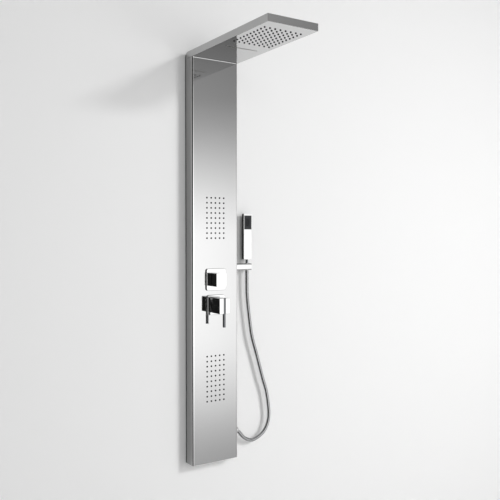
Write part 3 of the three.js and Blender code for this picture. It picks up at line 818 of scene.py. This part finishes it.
def rounded_block(node):
    """The solid of a block that fills a node's box, its corners rounded along its depth."""
    low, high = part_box(node)
    outline = rounded(high[0] - low[0], high[2] - low[2], 0.0025, 6)
    return shifted(prism(outline, low[1], high[1], "y"), z=(low[2] + high[2]) / 2), low, high


stem_radius, stem_start = 0.0043, 0.015
set_screw_y = -0.075
pin_radius = 0.0023
knob_solid, knob_low, knob_high = rounded_block("diverter_knob")
knob_bore = shifted(prism(disc_outline(stem_radius), knob_low[1] + stem_start,
                          knob_high[1] + past, "y"), z=diverter_height)
knob_set = shifted(prism(disc_outline(pin_radius, 16), knob_low[2] - past, diverter_height, "z"),
                   y=set_screw_y)
place_piece("knob_block", painted(eased(carve(knob_solid, knob_bore, knob_set), 0.0009, 4, 50),
                                  chrome), "diverter_knob", "diverter_knob")

handle_solid, handle_low, handle_high = rounded_block("mixer_handle")
lever_low, lever_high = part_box("mixer_lever")
handle_top, handle_back = handle_high[2], handle_high[1]
lever_gap = 0.0003
relief_rise, relief_depth = 0.013, 0.0065
pocket_width, pocket_tall, pocket_front = 0.018, 0.026, -0.095
pin_y, pin_start = -0.081, -0.0193
cutter_reach = 0.03
relief = prism([(handle_back + past, handle_top - relief_rise), (handle_back + past,
               handle_top + past), (handle_back - relief_depth, handle_top + past)],
               -cutter_reach, cutter_reach, "x")
pocket = box_solid((-pocket_width / 2, pocket_width / 2), (pocket_front, handle_back + past),
                   (mixer_height - pocket_tall / 2, mixer_height + pocket_tall / 2))
groove = box_solid((lever_low[0] - lever_gap, lever_high[0] + lever_gap),
                   (handle_low[1] - past, lever_high[1] + lever_gap),
                   (handle_low[2] - past, handle_top + past))
pin_bore = prism(disc_outline(pin_radius, 16, (pin_y, mixer_height)), pin_start, cutter_reach, "x")
place_piece("mixer_block", painted(
    eased(carve(handle_solid, relief, pocket, groove, pin_bore), 0.0008, 4, 50), chrome),
    "mixer_handle", "mixer_handle")


def dark_nickel():
    """Black-nickel plate on the lever and the neck: smoky, a little satin, darker than chrome."""
    made, tree, shader, place = start_material("black_nickel_plate", "#66686A", 1, 0.16)
    film = add_node(tree, "ShaderNodeTexNoise",
                    {"Scale": per_metre(12.5), "Detail": 3}, {"Vector": place})
    gloss = add_node(tree, "ShaderNodeMapRange", {"To Min": 0.1, "To Max": 0.2},
                     {"Value": film.outputs["Fac"]})
    tree.links.new(gloss.outputs["Result"], shader.inputs["Roughness"])
    return made


lever_solid = box_solid(*[(lever_low[i], lever_high[i]) for i in range(3)])
place_piece("lever_bar", painted(eased(mesh_of(lever_solid), 0.0012, 4, 50), dark_nickel()),
            "mixer_handle", "mixer_lever")


def lathe_along(node, profile, axis, sides=32):
    """A turned piece along y or z, centred on a node's box. Profile heights start at its low
    face."""
    low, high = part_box(node)
    middle = [(a + b) / 2 for a, b in zip(low, high)]
    solid = turned(profile, sides, False)
    if axis == "y":
        turn, place = Matrix.Rotation(math.radians(-90), 4, "X"), (middle[0], low[1], middle[2])
    else:
        turn, place = Matrix.Identity(4), (middle[0], middle[1], low[2])
    bmesh.ops.remove_doubles(solid, verts=solid.verts, dist=1e-7)
    bmesh.ops.recalc_face_normals(solid, faces=solid.faces)
    mesh = mesh_of(solid)
    mesh.transform(Matrix.Translation(place) @ turn)
    return mesh


collar = [(0.0044, 0.0019), (0.0044, 0), (0.0106, 0), (0.011, 0.0004), (0.011, 0.0015),
          (0.0106, 0.0019), (0.0044, 0.0019)]
place_piece("knob_collar", painted(creased(lathe_along("diverter_collar", collar, "y")), chrome),
            "panel", "diverter_collar")

# ---------------------------------------------------------------------------------------------
# Hand shower: a flat bar. The front is a chromed cover, the sides and back are black gloss ABS,
# with a fine joint between them. The spray plate is black, with five by nine small nozzles.
bar_low, bar_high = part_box("handset_body")
cover_depth = 0.0018
bar_corner = 0.0022
fine_gap = 0.0003
back_inset = 0.0002
socket_radius, socket_depth = 0.0058, 0.016
spray_pitch = 0.0056
spray_scale = (0.62, 0.62, 0.7, 1)
spray_low, spray_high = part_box("handset_spray_plate")


def gloss_black():
    """Injection-moulded ABS, polished tool: deep black gloss with faint flow marks."""
    made, tree, shader, place = start_material("gloss_black_abs", "#070708", 0, 0.14)
    shader.inputs["IOR"].default_value = 1.3
    flow = add_node(tree, "ShaderNodeTexNoise",
                    {"Scale": per_metre(11.1), "Detail": 3}, {"Vector": place})
    gloss = add_node(tree, "ShaderNodeMapRange", {"To Min": 0.10, "To Max": 0.20},
                     {"Value": flow.outputs["Fac"]})
    tree.links.new(gloss.outputs["Result"], shader.inputs["Roughness"])
    return made


def bar_part(y, inset):
    """A slice of the bar between two depths."""
    width, tall = bar_high[0] - bar_low[0] - 2 * inset, bar_high[2] - bar_low[2] - 2 * inset
    outline = rounded(width, tall, bar_corner, 6)
    return shifted(prism(outline, *y, "y"), x=(bar_low[0] + bar_high[0]) / 2,
                   z=(bar_low[2] + bar_high[2]) / 2)


window = box_solid((spray_low[0] - fine_gap, spray_high[0] + fine_gap),
                   (bar_low[1] - past, spray_high[1] + fine_gap),
                   (spray_low[2] - fine_gap, spray_high[2] + fine_gap))
cover = carve(bar_part((bar_low[1], bar_low[1] + cover_depth), 0), window)
place_piece("handset_cover", painted(eased(cover, 0.0007, 4, 50), chrome), "handset",
            "handset_body")
socket = prism(disc_outline(socket_radius, 24, (hose_x, hose_y)), bar_low[2] - past,
               bar_low[2] + socket_depth, "z")
grip = carve(bar_part((bar_low[1] + cover_depth + fine_gap, bar_high[1]), back_inset), socket)
place_piece("handset_back", painted(eased(grip, 0.0007, 3, 50), gloss_black()), "handset")
black_plate = silicone_black("black_spray_plate", "#343537")
spray_solid = box_solid(*[(spray_low[i], spray_high[i]) for i in range(3)])
place_piece("spray_plate", painted(eased(mesh_of(spray_solid), 0.0006, 3, 50), black_plate),
            "handset", "handset_spray_plate")
spray_field = nozzle_field(5, 9, (spray_pitch, spray_pitch), black_plate)
spray_field.transform(Matrix.Translation((
    (spray_low[0] + spray_high[0]) / 2, spray_low[1] + 0.0006,
    (spray_low[2] + spray_high[2]) / 2)) @ face_out @ Matrix.Diagonal(spray_scale))
place_piece("spray_nozzles", spray_field, "handset")

cone_tall = cone_high[2] - cone_low[2]
cone_profile = [(0.0042, 0), (0.0094, 0), (0.0097, 0.0004), (0.0117, cone_tall - 0.0005),
                (0.0113, cone_tall), (0.006, cone_tall), (0.0058, cone_tall - 0.014),
                (0.0042, cone_tall - 0.0145), (0.0042, 0)]
cone_nut = place_piece("cone_nut", painted(creased(lathe_along("hose_cone_nut", cone_profile,
                       "z", 40)), chrome), "handset", "hose_cone_nut")
neck_low, neck_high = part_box("handset_neck")
neck_tall = neck_high[2] - neck_low[2]
neck_profile = [(0.0035, 0), (0.005, 0), (0.0055, 0.0005), (0.0055, neck_tall - 0.0005),
                (0.005, neck_tall), (0.0035, neck_tall), (0.0035, 0)]
place_piece("threaded_neck", painted(creased(lathe_along("handset_neck", neck_profile, "z")),
            dark_nickel()), "handset", "handset_neck")

# ---------------------------------------------------------------------------------------------
# Holder: a chromed block screwed to the panel's side, with a tapered seat for the cone and a
# slot at its right end that the hose passes through.
holder_low, holder_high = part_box("handset_holder")
seat = turned([(0.0101, 0), (0.0123, 0.030)], 48)
holder_edge = 0.0055
hose_slot = 0.0078
holder_middle = [(low + high) / 2 for low, high in zip(holder_low, holder_high)]
holder_outline = [(y + holder_middle[1], z + holder_middle[2])
                  for y, z in rounded(holder_high[1] - holder_low[1],
                                      holder_high[2] - holder_low[2], holder_edge)]
holder_mesh = carve(
    prism(holder_outline, holder_low[0], holder_high[0], "x"),
    shifted(seat, hose_x, hose_y, holder_low[2] - past),
    box_solid((hose_x, holder_high[0] + past), (hose_y - hose_slot, hose_y + hose_slot),
              (holder_low[2] - past, holder_high[2] + past)))
place_piece("holder_block", painted(eased(holder_mesh, 0.0008, 3, 50), chrome), "panel",
            "handset_holder")

# ---------------------------------------------------------------------------------------------
# Pieces behind the panel and small metal parts: their own solids, with their edges eased.


def as_machined_brass():
    """Cast and machined brass, dull from handling."""
    made, tree, shader, place = start_material("machined_brass", "#B08D4C", 1, 0.32)
    tone = add_node(tree, "ShaderNodeTexNoise",
                    {"Scale": per_metre(8.33), "Detail": 4}, {"Vector": place})
    ramp = add_node(tree, "ShaderNodeMix", {"data_type": "RGBA", 6: linear("#A58144"),
                    7: linear("#C2A263")}, {0: tone.outputs["Fac"]})
    tree.links.new(ramp.outputs[2], shader.inputs["Base Color"])
    relief = add_node(tree, "ShaderNodeBump", {"Strength": 1.0, "Distance": 0.00004},
                      {"Height": tone.outputs["Fac"]})
    tree.links.new(relief.outputs["Normal"], shader.inputs["Normal"])
    return made


def zinc_plate():
    """Zinc-plated steel: grey, with the soft spangle of the bath."""
    made, tree, shader, place = start_material("zinc_plated_steel", "#A2A6AA", 1, 0.38)
    spangle = add_node(tree, "ShaderNodeTexVoronoi", {"Scale": per_metre(3.85)},
                       {"Vector": place})
    gloss = add_node(tree, "ShaderNodeMapRange", {"To Min": 0.3, "To Max": 0.5},
                     {"Value": spangle.outputs["Distance"]})
    tree.links.new(gloss.outputs["Result"], shader.inputs["Roughness"])
    return made


def moulded_white():
    """Moulded acetal, off-white with a fine tool texture."""
    made, tree, shader, place = start_material("moulded_white_plastic", "#DCDCD6", 0, 0.5)
    grain = add_node(tree, "ShaderNodeTexNoise",
                     {"Scale": per_metre(0.6667), "Detail": 2}, {"Vector": place})
    relief = add_node(tree, "ShaderNodeBump", {"Strength": 1.0, "Distance": 0.00003},
                      {"Height": grain.outputs["Fac"]})
    tree.links.new(relief.outputs["Normal"], shader.inputs["Normal"])
    gloss = add_node(tree, "ShaderNodeMapRange", {"To Min": 0.42, "To Max": 0.6},
                     {"Value": grain.outputs["Fac"]})
    tree.links.new(gloss.outputs["Result"], shader.inputs["Roughness"])
    return made


def black_rubber():
    """Moulded EPDM rubber with a talc bloom."""
    made, tree, shader, place = start_material("epdm_rubber", "#202124", 0, 0.7)
    bloom = add_node(tree, "ShaderNodeTexNoise",
                     {"Scale": per_metre(3.33), "Detail": 4}, {"Vector": place})
    gloss = add_node(tree, "ShaderNodeMapRange", {"To Min": 0.6, "To Max": 0.85},
                     {"Value": bloom.outputs["Fac"]})
    tree.links.new(gloss.outputs["Result"], shader.inputs["Roughness"])
    relief = add_node(tree, "ShaderNodeBump", {"Strength": 1.0, "Distance": 0.00005},
                      {"Height": bloom.outputs["Fac"]})
    tree.links.new(relief.outputs["Normal"], shader.inputs["Normal"])
    return made


def steel_braid():
    """Stainless braid over a rubber hose: fine strands, drawn as coarse as 2 mm to show."""
    made, tree, shader, place = start_material("stainless_braid", "#A9ACB0", 1, 0.36)
    weave = add_node(tree, "ShaderNodeTexVoronoi", {"Scale": per_metre(1.923)},
                     {"Vector": place})
    relief = add_node(tree, "ShaderNodeBump", {"Strength": 1.0, "Distance": 0.0005},
                      {"Height": weave.outputs["Distance"]})
    tree.links.new(relief.outputs["Normal"], shader.inputs["Normal"])
    tone = add_node(tree, "ShaderNodeMix", {"data_type": "RGBA", 6: linear("#8C9094"),
                    7: linear("#C4C7CA")}, {0: weave.outputs["Distance"]})
    tree.links.new(tone.outputs[2], shader.inputs["Base Color"])
    return made


brass, zinc, white_plastic = as_machined_brass(), zinc_plate(), moulded_white()
rubber, braid = black_rubber(), steel_braid()


def merged_copy(node):
    """A node's own mesh with its doubles merged and its flat faces whole."""
    solid = bmesh.new()
    solid.from_mesh(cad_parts[node].data)
    bmesh.ops.remove_doubles(solid, verts=solid.verts, dist=1e-6)
    bmesh.ops.dissolve_limit(solid, angle_limit=math.radians(1), verts=solid.verts,
                             edges=solid.edges)
    return mesh_of(solid)


def ease_node(node, material, width, body="panel"):
    """Replaces a node by its own solid with eased edges."""
    mesh = eased(merged_copy(node), width, 2, 40)
    return place_piece(f"{node}_eased", painted(mesh, material), body, node)


def smooth_hose(node, material):
    """Replaces a feed hose by its own solid, rounded by subdivision."""
    solid = bmesh.new()
    solid.from_mesh(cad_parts[node].data)
    bmesh.ops.remove_doubles(solid, verts=solid.verts, dist=1e-6)
    bmesh.ops.join_triangles(solid, faces=solid.faces, angle_face_threshold=math.radians(40),
                             angle_shape_threshold=math.radians(60))
    holder = loose_object("hose", solid)
    change = holder.modifiers.new("round", "SUBSURF")
    change.levels = change.render_levels = 2
    mesh = plain_mesh(holder)
    place_piece(f"{node}_braided", painted(creased(mesh, 60), material), "panel", node)


for node in ("rain_chamber", "waterfall_chamber", "upper_jet_chamber", "lower_jet_chamber",
             "hot_check_valve", "cold_check_valve", "diverter_cartridge", "mixer_cartridge"):
    ease_node(node, white_plastic, 0.0006)
for node in ("diverter_body", "mixer_body", "cartridge_nut", "mixer_to_diverter_pipe",
             "hot_nut", "cold_nut"):
    ease_node(node, brass, 0.0006)
ease_node("diverter_stem", brass, 0.0004, "diverter_knob")
ease_node("mixer_spindle", brass, 0.0004, "mixer_spindle")
for node in ("upper_wall_bracket", "lower_wall_bracket", "holder_screw_1", "holder_screw_2",
             "locking_screw_1", "locking_screw_2"):
    ease_node(node, zinc, 0.0003)
ease_node("diverter_grub_screw", zinc, 0.0003, "diverter_knob")
for node in ("handle_hinge_pin", "hinge_pin_plug", "lever_screw"):
    ease_node(node, zinc, 0.0003, "mixer_handle")
for node in ("bottom_cap", "hanger_bar"):
    ease_node(node, steel, 0.0004)
for node in ("hose_outlet", "hose_lower_nut"):
    ease_node(node, chrome, 0.0004)
for node in ("rain_nozzle_mat", "upper_jet_mat", "lower_jet_mat"):
    ease_node(node, silicone, 0.0003)
for node in ("diverter_plate_seal", "mixer_plate_seal", "hose_lower_washer"):
    ease_node(node, rubber, 0.0002)
ease_node("hose_upper_washer", rubber, 0.0002, "handset")
for node in ("rain_feed_hose", "waterfall_feed_hose", "upper_jet_feed_hose",
             "lower_jet_feed_hose", "hand_feed_hose", "hot_tail", "cold_tail"):
    smooth_hose(node, braid)
bpy.data.objects.remove(nub)
